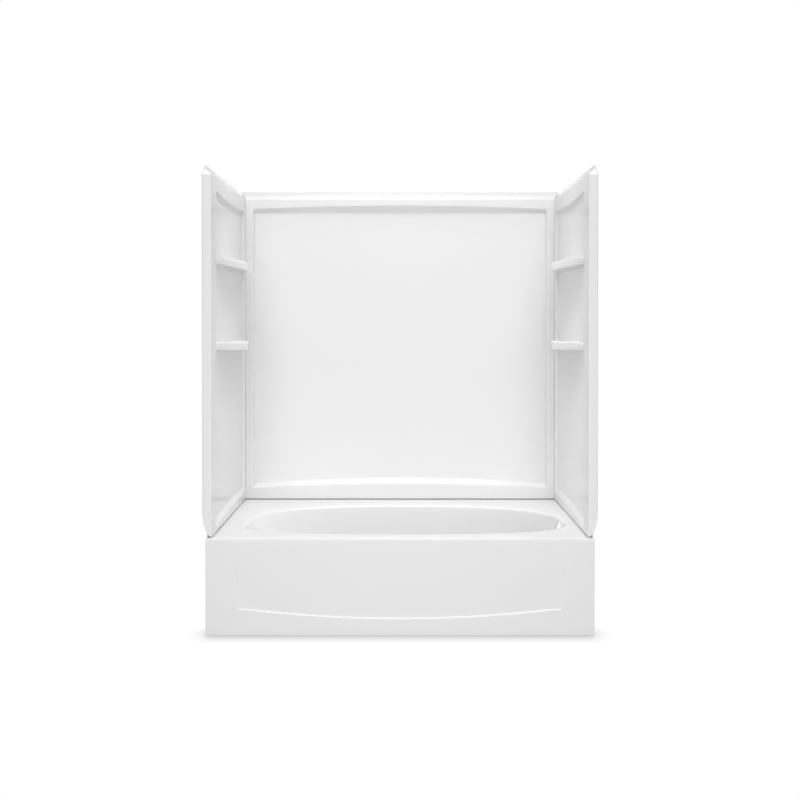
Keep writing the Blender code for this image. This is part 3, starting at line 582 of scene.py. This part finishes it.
def end_net(sizes, bath):
    """Rows from the end panel's foot over its ledge, shelves and rail to the top of its flange.

    With s from 0 to 1 along the sunk field, a shelf stands out by bow x (1 - |2 s - 1|^p). The
    ledge's front climbs by bow x sqrt(s), and its back edge and the lower edges of shelves and
    rail bend by their own bow x (1 - (2 s - 1)^2). With t from 0 at the panel's face to 1 at the
    lip's outer edge, the lip's foot is lifted by round x (1 - sqrt(1 - t^2)).
    """
    x, y, sunk = end_path(sizes, bath)
    face = sizes.end_standoff - bath.length / 2
    front = -bath.depth / 2
    field = y[sunk > FULLY_SUNK]
    span = np.clip((y - field.min()) / (field.max() - field.min()), 0, 1)
    outboard = np.maximum(face - x, 0)
    lip = outboard > WELD
    foot = sizes.foot + sizes.lip_foot_lift * smooth_step(outboard / sizes.lip_edge)
    foot = foot + sizes.lip_foot_round * (1 - np.sqrt(1 - (outboard / outboard.max()) ** 2))
    ledge = np.maximum(sizes.ledge_front + sizes.ledge_front_bow * np.sqrt(span), foot + sizes.lip_edge)
    ledge_back = ledge + sizes.ledge_rise + sizes.ledge_rise_bow * bow(span, 2)
    deep = x - sizes.end_recess * sunk
    rows = [row(x, y, foot), row(x, y, ledge), row(deep, y, ledge_back)]
    reaches = list(END_LEDGE_ROUNDS)
    for top in (sizes.shelf_low, sizes.shelf_high):
        out = x + sizes.shelf_bow * bow(span, sizes.shelf_bow_power) * sunk
        low = top - sizes.shelf_band - sizes.shelf_band_bow * bow(span, 2)
        rows += [row(deep, y, low - sizes.shelf_fall), row(out, y, low), row(out, y, top)]
        rows.append(row(deep, y, top + SHELF_STRIP * (1 - sunk)))
        reaches += [*SHELF_FOOT_ROUNDS, sizes.shelf_edge, SHELF_BACK_ROUND]
    rail_edge = sizes.end_rail_edge - sizes.end_rail_bow * bow(span, 2)
    rows.append(row(deep, y, rail_edge - sizes.end_rail_fall))
    rows.append(row(x, y, rail_edge))
    rows.append(row(x, y, sizes.frame_top - sizes.lip_top_drop * lip))
    tip = y < front + sizes.front_column / 2
    edge = sizes.skin - bath.length / 2
    high = sizes.frame_top + sizes.bevel_rise
    slope_y = np.where(tip, front + sizes.lip_set_back + (y - front) * sizes.lip_bevel_share, y)
    rows.append(row(edge - outboard * sizes.lip_bevel_share, slope_y, high - sizes.lip_top_drop * lip))
    notched = y > bath.depth / 2 - sizes.notch_length
    flange_y = np.where(tip, front + sizes.lip_set_back + (y - front) * sizes.lip_flange_share, y)
    flange_z = high + sizes.end_flange_rise * np.where(notched, sizes.notch_share, 1)
    rows.append(row(edge - outboard * sizes.lip_flange_share, flange_y, flange_z))
    return panel_net(rows, reaches + list(END_TOP_ROUNDS))


def build_end_panels(sizes, bath, materials):
    left = end_net(sizes, bath)
    right = left[:, ::-1] * (-1, 1, 1)
    for side, net in (("left", left), ("right", right)):
        panel = make_sheet(side + "_end_panel", [(net, False)], sizes.skin, materials)
        finish_piece(panel, "surround", side + "_end_wall")


def back_path(sizes, bath):
    """The back panel in plan: a return, a column, the sunk field, and the same again mirrored."""
    face_x = bath.length / 2 - sizes.end_standoff
    side = face_x - sizes.joint
    wall_y = bath.depth / 2 - sizes.back_standoff
    frame_edge = face_x - sizes.side_column
    half = [
        (side, bath.depth / 2 - sizes.return_stop, 0),
        (side, wall_y, 0),
        (frame_edge, wall_y, 0),
        (frame_edge - sizes.back_slope, wall_y, 1),
    ]
    left = [(-x, y, sunk) for x, y, sunk in half]
    reaches = (sizes.corner_round, *BACK_PATH_ROUNDS)
    return plan_path(left + half[::-1], reaches + reaches[::-1])


def back_net(sizes, bath):
    """Rows from the back panel's foot over its ledge, field and rail to the top of its flange.

    The ledge and the rail's lower edge are arched by bow x (1 - (x / w)^2), where w is half the
    width between the columns. With t from 0 at a column's inner edge to 1 at the end of the
    return, the two top rows run out to w + (e - w) t, where e is the bath's half length less the
    skin, and draw in by draw x S(rate x t), where S is the S-shaped step.
    """
    x, y, sunk = back_path(sizes, bath)
    frame_edge = bath.length / 2 - sizes.end_standoff - sizes.side_column
    arch = 1 - np.clip(np.abs(x) / frame_edge, 0, 1) ** 2
    deep = y + sizes.back_recess * sunk
    ledge = sizes.back_ledge + sizes.back_ledge_bow * arch
    ledge_back = ledge + sizes.back_ledge_rise + sizes.back_ledge_rise_bow * arch
    rows = [row(x, y, sizes.foot), row(x, y, ledge), row(x, deep, ledge_back)]
    rows.append(row(x, deep, sizes.back_rail_low))
    rows.append(row(x, y, sizes.back_rail + sizes.back_rail_bow * arch))
    rows.append(row(x, y, sizes.frame_top))
    along = np.concatenate([[0], np.cumsum(np.hypot(np.diff(x), np.diff(y)))])
    from_middle = np.abs(along - along[-1] / 2)
    outer = np.clip((from_middle - frame_edge) / (from_middle.max() - frame_edge), 0, 1)
    spread = frame_edge + (bath.length / 2 - sizes.skin - frame_edge) * outer
    top_x = np.where(outer > 0, np.sign(x) * spread, x)
    top_y = bath.depth / 2 - sizes.skin - sizes.flange_draw * smooth_step(DRAW_RATE * outer)
    high = sizes.frame_top + sizes.bevel_rise
    rows.append(row(top_x, top_y, high))
    rows.append(row(top_x, top_y, high + sizes.back_flange_rise))
    return panel_net(rows, BACK_ROUNDS)


def build_back_panel(sizes, bath, materials):
    panel = make_sheet("back_panel", [(back_net(sizes, bath), False)], sizes.skin, materials)
    finish_piece(panel, "surround", "back_wall")


# Finishes


def place_node(tree, kind, inputs=None, **settings):
    """A node with its settings made and its inputs set, or joined where the value is a socket."""
    made = tree.nodes.new(kind)
    for name, value in settings.items():
        setattr(made, name, value)
    for name, value in (inputs or {}).items():
        if isinstance(value, bpy.types.NodeSocket):
            tree.links.new(value, made.inputs[name])
        else:
            made.inputs[name].default_value = value
    return made


def calculate(tree, operation, first, second=0.0):
    """The result of a Math node."""
    return place_node(tree, "ShaderNodeMath", {0: first, 1: second}, operation=operation).outputs[0]


def mix_colours(tree, factor, first, second):
    """The colour between two colours, the second where the factor is 1."""
    inputs = {0: factor, 6: first, 7: second}
    return place_node(tree, "ShaderNodeMix", inputs, data_type="RGBA").outputs[2]


def noise(tree, vector, scale, detail=2.0, roughness=0.5):
    """The value of a Noise Texture."""
    inputs = {"Vector": vector, "Scale": scale, "Detail": detail, "Roughness": roughness}
    return place_node(tree, "ShaderNodeTexNoise", inputs).outputs["Fac"]


def new_group(name, inputs, outputs):
    """A shader node group with a Vector input, more inputs that hold numbers or colours, and outputs.

    Gives the tree and its two ends, or None three times if the group is there already.
    """
    if name in bpy.data.node_groups:
        return None, None, None
    tree = bpy.data.node_groups.new(name, "ShaderNodeTree")
    tree.interface.new_socket("Vector", in_out="INPUT", socket_type="NodeSocketVector")
    for label, default in inputs.items():
        kind = "NodeSocketFloat" if isinstance(default, float) else "NodeSocketColor"
        made = tree.interface.new_socket(label, in_out="INPUT", socket_type=kind)
        made.default_value = default
    for label, kind in outputs.items():
        tree.interface.new_socket(label, in_out="OUTPUT", socket_type=kind)
    return tree, tree.nodes.new("NodeGroupInput").outputs, tree.nodes.new("NodeGroupOutput").inputs


def moulded_group():
    """Moulded plastic: long soft waves and a fine ripple, as a height and a roughness."""
    numbers = {"Wave Length": 0.35, "Wave Height": 0.00025, "Ripple Length": 0.004}
    numbers.update({"Ripple Height": 0.000002, "Gloss": 0.12, "Gloss Change": 0.05})
    kinds = {"Height": "NodeSocketFloat", "Roughness": "NodeSocketFloat"}
    tree, given, result = new_group("moulded_surface", numbers, kinds)
    if tree is None:
        return
    wave = noise(tree, given["Vector"], calculate(tree, "DIVIDE", 1.0, given["Wave Length"]), 1.0)
    ripple = noise(tree, given["Vector"], calculate(tree, "DIVIDE", 1.0, given["Ripple Length"]), 2.0)
    wave = calculate(tree, "MULTIPLY", wave, given["Wave Height"])
    ripple = calculate(tree, "MULTIPLY", ripple, given["Ripple Height"])
    tree.links.new(calculate(tree, "ADD", wave, ripple), result["Height"])
    cloud = noise(tree, given["Vector"], 5.0, 4.0, 0.6)
    change = calculate(tree, "MULTIPLY", calculate(tree, "SUBTRACT", cloud, 0.5), given["Gloss Change"])
    tree.links.new(calculate(tree, "ADD", given["Gloss"], change), result["Roughness"])


def wood_group():
    """Sawn softwood: bent rings and fine fibres along the grain, as a colour and a height."""
    numbers = {"Ring Width": 0.006, "Light": (0.7, 0.55, 0.36, 1), "Dark": (0.5, 0.33, 0.17, 1)}
    kinds = {"Color": "NodeSocketColor", "Height": "NodeSocketFloat"}
    tree, given, result = new_group("wood_grain", numbers, kinds)
    if tree is None:
        return
    bend = noise(tree, given["Vector"], 9.0, 2.0)
    turns = calculate(tree, "DIVIDE", 1.0, given["Ring Width"])
    inputs = {"Vector": given["Vector"], "Scale": calculate(tree, "MULTIPLY", turns, 0.16)}
    inputs.update({"Distortion": calculate(tree, "MULTIPLY", bend, 6.0), "Detail": 2.0, "Detail Scale": 2.0})
    rings = place_node(tree, "ShaderNodeTexWave", inputs, wave_type="RINGS", rings_direction="X")
    fibre = noise(tree, given["Vector"], 700.0, 3.0, 0.7)
    shade = calculate(tree, "MULTIPLY", rings.outputs["Fac"], 0.7)
    shade = calculate(tree, "ADD", shade, calculate(tree, "MULTIPLY", fibre, 0.45))
    tree.links.new(mix_colours(tree, shade, given["Light"], given["Dark"]), result["Color"])
    height = calculate(tree, "MULTIPLY", calculate(tree, "SUBTRACT", fibre, rings.outputs["Fac"]), 0.0001)
    tree.links.new(height, result["Height"])


def foam_group():
    """Foam: rounded cells packed side by side, as a height that sinks between them and painted shade that
    darkens those sunk edges.
    """
    kinds = {"Shade": "NodeSocketFloat", "Height": "NodeSocketFloat"}
    tree, given, result = new_group("foam_cells", {"Cell Size": 0.003, "Cell Depth": 0.0004}, kinds)
    if tree is None:
        return
    scale = calculate(tree, "DIVIDE", 1.0, given["Cell Size"])
    inputs = {"Vector": given["Vector"], "Scale": scale, "Smoothness": 0.3}
    cells = place_node(tree, "ShaderNodeTexVoronoi", inputs, feature="SMOOTH_F1").outputs["Distance"]
    # Shade: painted shade, darker towards the sunk edges between the cells
    tree.links.new(calculate(tree, "MULTIPLY", cells, cells), result["Shade"])
    sunk = calculate(tree, "MULTIPLY", calculate(tree, "MULTIPLY", cells, cells), given["Cell Depth"])
    tree.links.new(calculate(tree, "MULTIPLY", sunk, -1.0), result["Height"])


def new_material(name, roughness, metallic=0.0):
    """A material with its shader, and the object's own coordinates."""
    material = bpy.data.materials.new(name)
    material.use_nodes = True
    tree = material.node_tree
    shader = tree.nodes["Principled BSDF"]
    shader.inputs["Roughness"].default_value = roughness
    shader.inputs["Metallic"].default_value = metallic
    return material, tree, shader, tree.nodes.new("ShaderNodeTexCoord").outputs["Object"]


def use_group(tree, name, vector, **values):
    """A group node with its Vector joined. Value names have _ for a space."""
    made = tree.nodes.new("ShaderNodeGroup")
    made.node_tree = bpy.data.node_groups[name]
    tree.links.new(vector, made.inputs["Vector"])
    for label, value in values.items():
        made.inputs[label.replace("_", " ")].default_value = value
    return made.outputs


def add_bump(tree, shader, height):
    """Joins a height in metres to the shader's normal."""
    inputs = {"Height": height, "Strength": 1.0, "Distance": 1.0}
    bump = place_node(tree, "ShaderNodeBump", inputs)
    tree.links.new(bump.outputs["Normal"], shader.inputs["Normal"])


def tint(tree, base, share, factor):
    """A colour made darker by a share, where the factor is 1."""
    dark = tuple(value * (1 - share) for value in base[:3]) + (1,)
    return mix_colours(tree, factor, base, dark)


def white_material(name, colours, wave_height):
    """Glossy white moulding: near even colour, with long soft waves in its reflections."""
    material, tree, shader, vector = new_material(name, 0.12)
    surface = use_group(tree, "moulded_surface", vector, Wave_Height=wave_height)
    tree.links.new(surface["Roughness"], shader.inputs["Roughness"])
    add_bump(tree, shader, surface["Height"])
    cloud = noise(tree, vector, 2.5, 3.0)
    tree.links.new(tint(tree, colours.white, 0.012, cloud), shader.inputs["Base Color"])
    return material


def backing_material(colours):
    """Rough resin with chopped glass strands, on the sides of the mouldings that nobody sees."""
    material, tree, shader, vector = new_material("resin_backing", 0.55)
    strands = None
    for turn in (0.3, 1.4, 2.5):
        mapping = {"Vector": vector, "Rotation": (turn, turn * 2, turn * 3), "Scale": (1, 9, 9)}
        turned = place_node(tree, "ShaderNodeMapping", mapping).outputs[0]
        strand = noise(tree, turned, 60.0, 2.0, 0.6)
        strands = strand if strands is None else calculate(tree, "MAXIMUM", strands, strand)
    factor = calculate(tree, "MULTIPLY", calculate(tree, "SUBTRACT", strands, 0.45), 3.0)
    tree.links.new(tint(tree, colours.backing, 0.35, factor), shader.inputs["Base Color"])
    add_bump(tree, shader, calculate(tree, "MULTIPLY", strands, 0.0015))
    rough = calculate(tree, "ADD", calculate(tree, "MULTIPLY", strands, 0.4), 0.3)
    tree.links.new(rough, shader.inputs["Roughness"])
    return material


def steel_material(colours):
    """Rolled spring steel: fine lines along the strip and a little spotting."""
    material, tree, shader, vector = new_material("spring_steel", 0.35, 1.0)
    mapping = {"Vector": vector, "Scale": (1, 1, 0.03)}
    stretched = place_node(tree, "ShaderNodeMapping", mapping).outputs[0]
    lines = noise(tree, stretched, 2600.0, 2.0, 0.6)
    spots = noise(tree, vector, 90.0, 4.0, 0.7)
    rough = calculate(tree, "ADD", calculate(tree, "MULTIPLY", lines, 0.25), 0.18)
    tree.links.new(rough, shader.inputs["Roughness"])
    tree.links.new(tint(tree, colours.steel, 0.3, spots), shader.inputs["Base Color"])
    add_bump(tree, shader, calculate(tree, "MULTIPLY", lines, 0.00001))
    return material


def foam_material(name, base, cell_size, cell_depth, share, roughness):
    """Foam with its cells at their real size, its colour darkened by painted shade in the sunk edges between
    them.
    """
    material, tree, shader, vector = new_material(name, roughness)
    cells = use_group(tree, "foam_cells", vector, Cell_Size=cell_size, Cell_Depth=cell_depth)
    # share is how far the painted shade darkens the colour between the cells
    tree.links.new(tint(tree, base, share, cells["Shade"]), shader.inputs["Base Color"])
    add_bump(tree, shader, cells["Height"])
    return material


def wood_material(name, base, scale, ring_width):
    """Wood whose grain runs along the axis that the scale stretches."""
    material, tree, shader, vector = new_material(name, 0.65)
    mapping = {"Vector": vector, "Scale": scale, "Location": (0.013, 0.031, 0.017)}
    along = place_node(tree, "ShaderNodeMapping", mapping).outputs[0]
    dark = tuple(value * 0.62 for value in base[:3]) + (1,)
    light = tuple(min(1, value * 1.08) for value in base[:3]) + (1,)
    grain = use_group(tree, "wood_grain", along, Ring_Width=ring_width, Light=light, Dark=dark)
    tree.links.new(grain["Color"], shader.inputs["Base Color"])
    add_bump(tree, shader, grain["Height"])
    return material


def make_groups():
    moulded_group()
    wood_group()
    foam_group()


def moulding_materials(colours, name, wave_height):
    """The glossy face and the rough back of one moulding."""
    make_groups()
    back = bpy.data.materials.get("resin_backing") or backing_material(colours)
    return white_material(name, colours, wave_height), back


def dress_nodes(names, material):
    """Gives each named CAD node one material."""
    for name in names:
        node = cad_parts[name]
        node.data.materials.clear()
        node.data.materials.append(material)


# Operators, one for each piece or group of like pieces


class BATHUNIT_OT_bath(Operator):
    """Build the bath moulding: deck, basin, apron and tile flange"""

    bl_idname = "bathunit.bath"
    bl_label = "Bath Moulding"

    def execute(self, context):
        unit = context.scene.bath_unit
        build_bath(unit.bath, moulding_materials(unit.finishes, "white_bath", 0.0003))
        return {"FINISHED"}


class BATHUNIT_OT_end_panels(Operator):
    """Build the left and right end panels with their shelves"""

    bl_idname = "bathunit.end_panels"
    bl_label = "End Panels"

    def execute(self, context):
        unit = context.scene.bath_unit
        materials = moulding_materials(unit.finishes, "white_end_panels", 0.0004)
        build_end_panels(unit.panels, unit.bath, materials)
        return {"FINISHED"}


class BATHUNIT_OT_back_panel(Operator):
    """Build the back panel"""

    bl_idname = "bathunit.back_panel"
    bl_label = "Back Panel"

    def execute(self, context):
        unit = context.scene.bath_unit
        materials = moulding_materials(unit.finishes, "white_back_panel", 0.0004)
        build_back_panel(unit.panels, unit.bath, materials)
        return {"FINISHED"}


class BATHUNIT_OT_fittings(Operator):
    """Finish the seals and the spring clips"""

    bl_idname = "bathunit.fittings"
    bl_label = "Seals and Clips"

    def execute(self, context):
        make_groups()
        colours = context.scene.bath_unit.finishes
        # The seals' dark colour is their own grey and also painted shade for the joint under the panels
        seals = [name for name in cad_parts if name.endswith("_seal")]
        clips = [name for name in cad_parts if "_clip_" in name]
        # 0.6: how far painted shade darkens the seal foam between its cells
        dress_nodes(seals, foam_material("seal_foam", colours.seal, 0.0009, 0.0002, 0.6, 0.85))
        dress_nodes(clips, steel_material(colours))
        return {"FINISHED"}


class BATHUNIT_OT_supports(Operator):
    """Finish the board, the foam blocks and the timbers under the bath"""

    bl_idname = "bathunit.supports"
    bl_label = "Supports"

    def execute(self, context):
        make_groups()
        colours = context.scene.bath_unit.finishes
        pads = [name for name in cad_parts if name.startswith("support_pad_")]
        posts = [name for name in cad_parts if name.startswith("apron_post_")]
        dress_nodes(["basin_base_board"], wood_material("plywood", colours.board, (0.12, 1, 1), 0.02))
        # 0.14: how far painted shade darkens the pad foam between its cells
        dress_nodes(pads, foam_material("pad_foam", colours.pad, 0.004, 0.0006, 0.14, 0.8))
        dress_nodes(["apron_rail"], wood_material("batten_timber", colours.timber, (0.05, 1, 1), 0.005))
        dress_nodes(posts, wood_material("post_timber", colours.timber, (1, 1, 0.05), 0.005))
        return {"FINISHED"}


class BATHUNIT_OT_studio(Operator):
    """Build the floor, the world, the soft lights and the camera"""

    bl_idname = "bathunit.studio"
    bl_label = "Studio"

    def execute(self, context):
        scene = context.scene
        studio = scene.bath_unit.studio
        scene.view_settings.view_transform = "Standard"
        make_floor(studio)
        make_world(scene, studio)
        make_lamps(scene, studio)
        make_camera(scene, studio)
        return {"FINISHED"}


def own_background_ray(tree):
    """1 for rays that show the background: from the camera, off gloss and through glass."""
    rays = tree.nodes.new("ShaderNodeLightPath").outputs
    seen = calculate(tree, "MAXIMUM", rays["Is Camera Ray"], rays["Is Glossy Ray"])
    return calculate(tree, "MAXIMUM", seen, rays["Is Transmission Ray"])


def make_floor(studio):
    """A pale floor, a grid in one level plane.

    The camera sees 1 - depth x (share of the sky over the floor that the unit hides within reach).
    """
    half = studio.floor_side / 2
    line = np.linspace(-half, half, FLOOR_POINTS)
    x, y = np.meshgrid(line, line)
    points = np.stack([x, y, 0 * x], axis=2).reshape(-1, 3)
    mesh = bpy.data.meshes.new("floor")
    mesh.from_pydata(points.tolist(), [], net_faces(FLOOR_POINTS, FLOOR_POINTS, False, 0).tolist())
    material, tree, shader, _ = new_material("floor_white", 0.9)
    shader.inputs["Specular IOR Level"].default_value = 0.0
    shader.inputs["Emission Color"].default_value = WHITE
    seen = own_background_ray(tree)
    near = place_node(tree, "ShaderNodeAmbientOcclusion", {"Distance": studio.shadow_reach})
    hidden = calculate(tree, "SUBTRACT", 1.0, near.outputs["AO"])
    bright = calculate(tree, "SUBTRACT", 1.0, calculate(tree, "MULTIPLY", hidden, studio.shadow_depth))
    tree.links.new(calculate(tree, "MULTIPLY", seen, bright), shader.inputs["Emission Strength"])
    paint = mix_colours(tree, seen, studio.floor_colour, BLACK)
    tree.links.new(paint, shader.inputs["Base Color"])
    mesh.materials.append(material)
    floor = bpy.data.objects.new("floor", mesh)
    bpy.context.scene.collection.objects.link(floor)


def make_world(scene, studio):
    """Plain white light from all round, and pure white behind everything."""
    world = bpy.data.worlds.new("studio")
    scene.world = world
    world.use_nodes = True
    tree = world.node_tree
    background = tree.nodes["Background"]
    background.inputs["Color"].default_value = WHITE
    seen = own_background_ray(tree)
    inputs = {0: seen, 2: studio.world_strength, 3: 1.0}
    strength = place_node(tree, "ShaderNodeMix", inputs, data_type="FLOAT")
    tree.links.new(strength.outputs[0], background.inputs["Strength"])


def make_lamp(scene, name, place, aim, size, power):
    """A soft rectangular light at a place, turned to face a point."""
    lamp = bpy.data.lights.new(name, "AREA")
    lamp.shape = "RECTANGLE"
    lamp.size, lamp.size_y = size
    lamp.energy = power
    held = bpy.data.objects.new(name, lamp)
    scene.collection.objects.link(held)
    held.location = place
    held.rotation_euler = (Vector(aim) - Vector(place)).to_track_quat("-Z", "Y").to_euler()
    return held


def make_lamps(scene, studio):
    """Soft lights: one straight above, two from the front, a low strip and one on each end panel."""
    powers = {
        "overhead": studio.overhead_power,
        "high": studio.high_power,
        "front": studio.front_power,
        "low": studio.low_power,
        "left wall": studio.wall_power,
        "right wall": studio.wall_power,
    }
    wall = studio.wall_spread
    spreads = {"overhead": studio.overhead_spread, "left wall": wall, "right wall": wall}
    for name, (place, aim, size) in LAMPS.items():
        held = make_lamp(scene, name, place, aim, size, powers[name])
        held.data.spread = spreads.get(name, math.pi)
        held.visible_glossy = name != "low"


def make_camera(scene, studio):
    """The photograph's view: square on, with the picture shifted and the camera tilted a little."""
    lens = bpy.data.cameras.new("camera")
    lens.sensor_width = 36
    lens.lens = studio.focal_pixels / studio.image_side * lens.sensor_width
    lens.shift_y = studio.axis_row / studio.image_side - 0.5
    lens.dof.use_dof = False
    camera = bpy.data.objects.new("camera", lens)
    scene.collection.objects.link(camera)
    front = -scene.bath_unit.bath.depth / 2
    camera.location = (0, front - studio.camera_distance, studio.camera_height)
    camera.rotation_euler = (math.pi / 2 - studio.camera_pitch, 0, 0)
    scene.camera = camera


class BathUnitSettings(PropertyGroup):
    """All settings of the unit."""

    bath: PointerProperty(type=BathSizes)
    panels: PointerProperty(type=PanelSizes)
    finishes: PointerProperty(type=FinishColours)
    studio: PointerProperty(type=StudioSettings)


OPERATORS = (
    BATHUNIT_OT_bath,
    BATHUNIT_OT_end_panels,
    BATHUNIT_OT_back_panel,
    BATHUNIT_OT_fittings,
    BATHUNIT_OT_supports,
    BATHUNIT_OT_studio,
)


class BATHUNIT_PT_panel(Panel):
    """Lists the operators and the sizes in the sidebar"""

    bl_idname = "BATHUNIT_PT_panel"
    bl_label = "Bath Unit"
    bl_space_type = "VIEW_3D"
    bl_region_type = "UI"
    bl_category = "Bath Unit"

    def draw(self, context):
        for operator in OPERATORS:
            self.layout.operator(operator.bl_idname)
        unit = context.scene.bath_unit
        for group in (unit.bath, unit.panels, unit.finishes, unit.studio):
            box = self.layout.box()
            for name in group.__annotations__:
                box.prop(group, name)


CLASSES = (BathSizes, PanelSizes, FinishColours, StudioSettings, BathUnitSettings) + OPERATORS
CLASSES = CLASSES + (BATHUNIT_PT_panel,)


def register():
    for item in CLASSES:
        bpy.utils.register_class(item)
    bpy.types.Scene.bath_unit = PointerProperty(type=BathUnitSettings)


def unregister():
    del bpy.types.Scene.bath_unit
    for item in reversed(CLASSES):
        bpy.utils.unregister_class(item)


def main():
    register()
    bpy.ops.bathunit.bath()
    bpy.ops.bathunit.end_panels()
    bpy.ops.bathunit.back_panel()
    bpy.ops.bathunit.fittings()
    bpy.ops.bathunit.supports()
    bpy.ops.bathunit.studio()


if __name__ == "__main__":
    main()
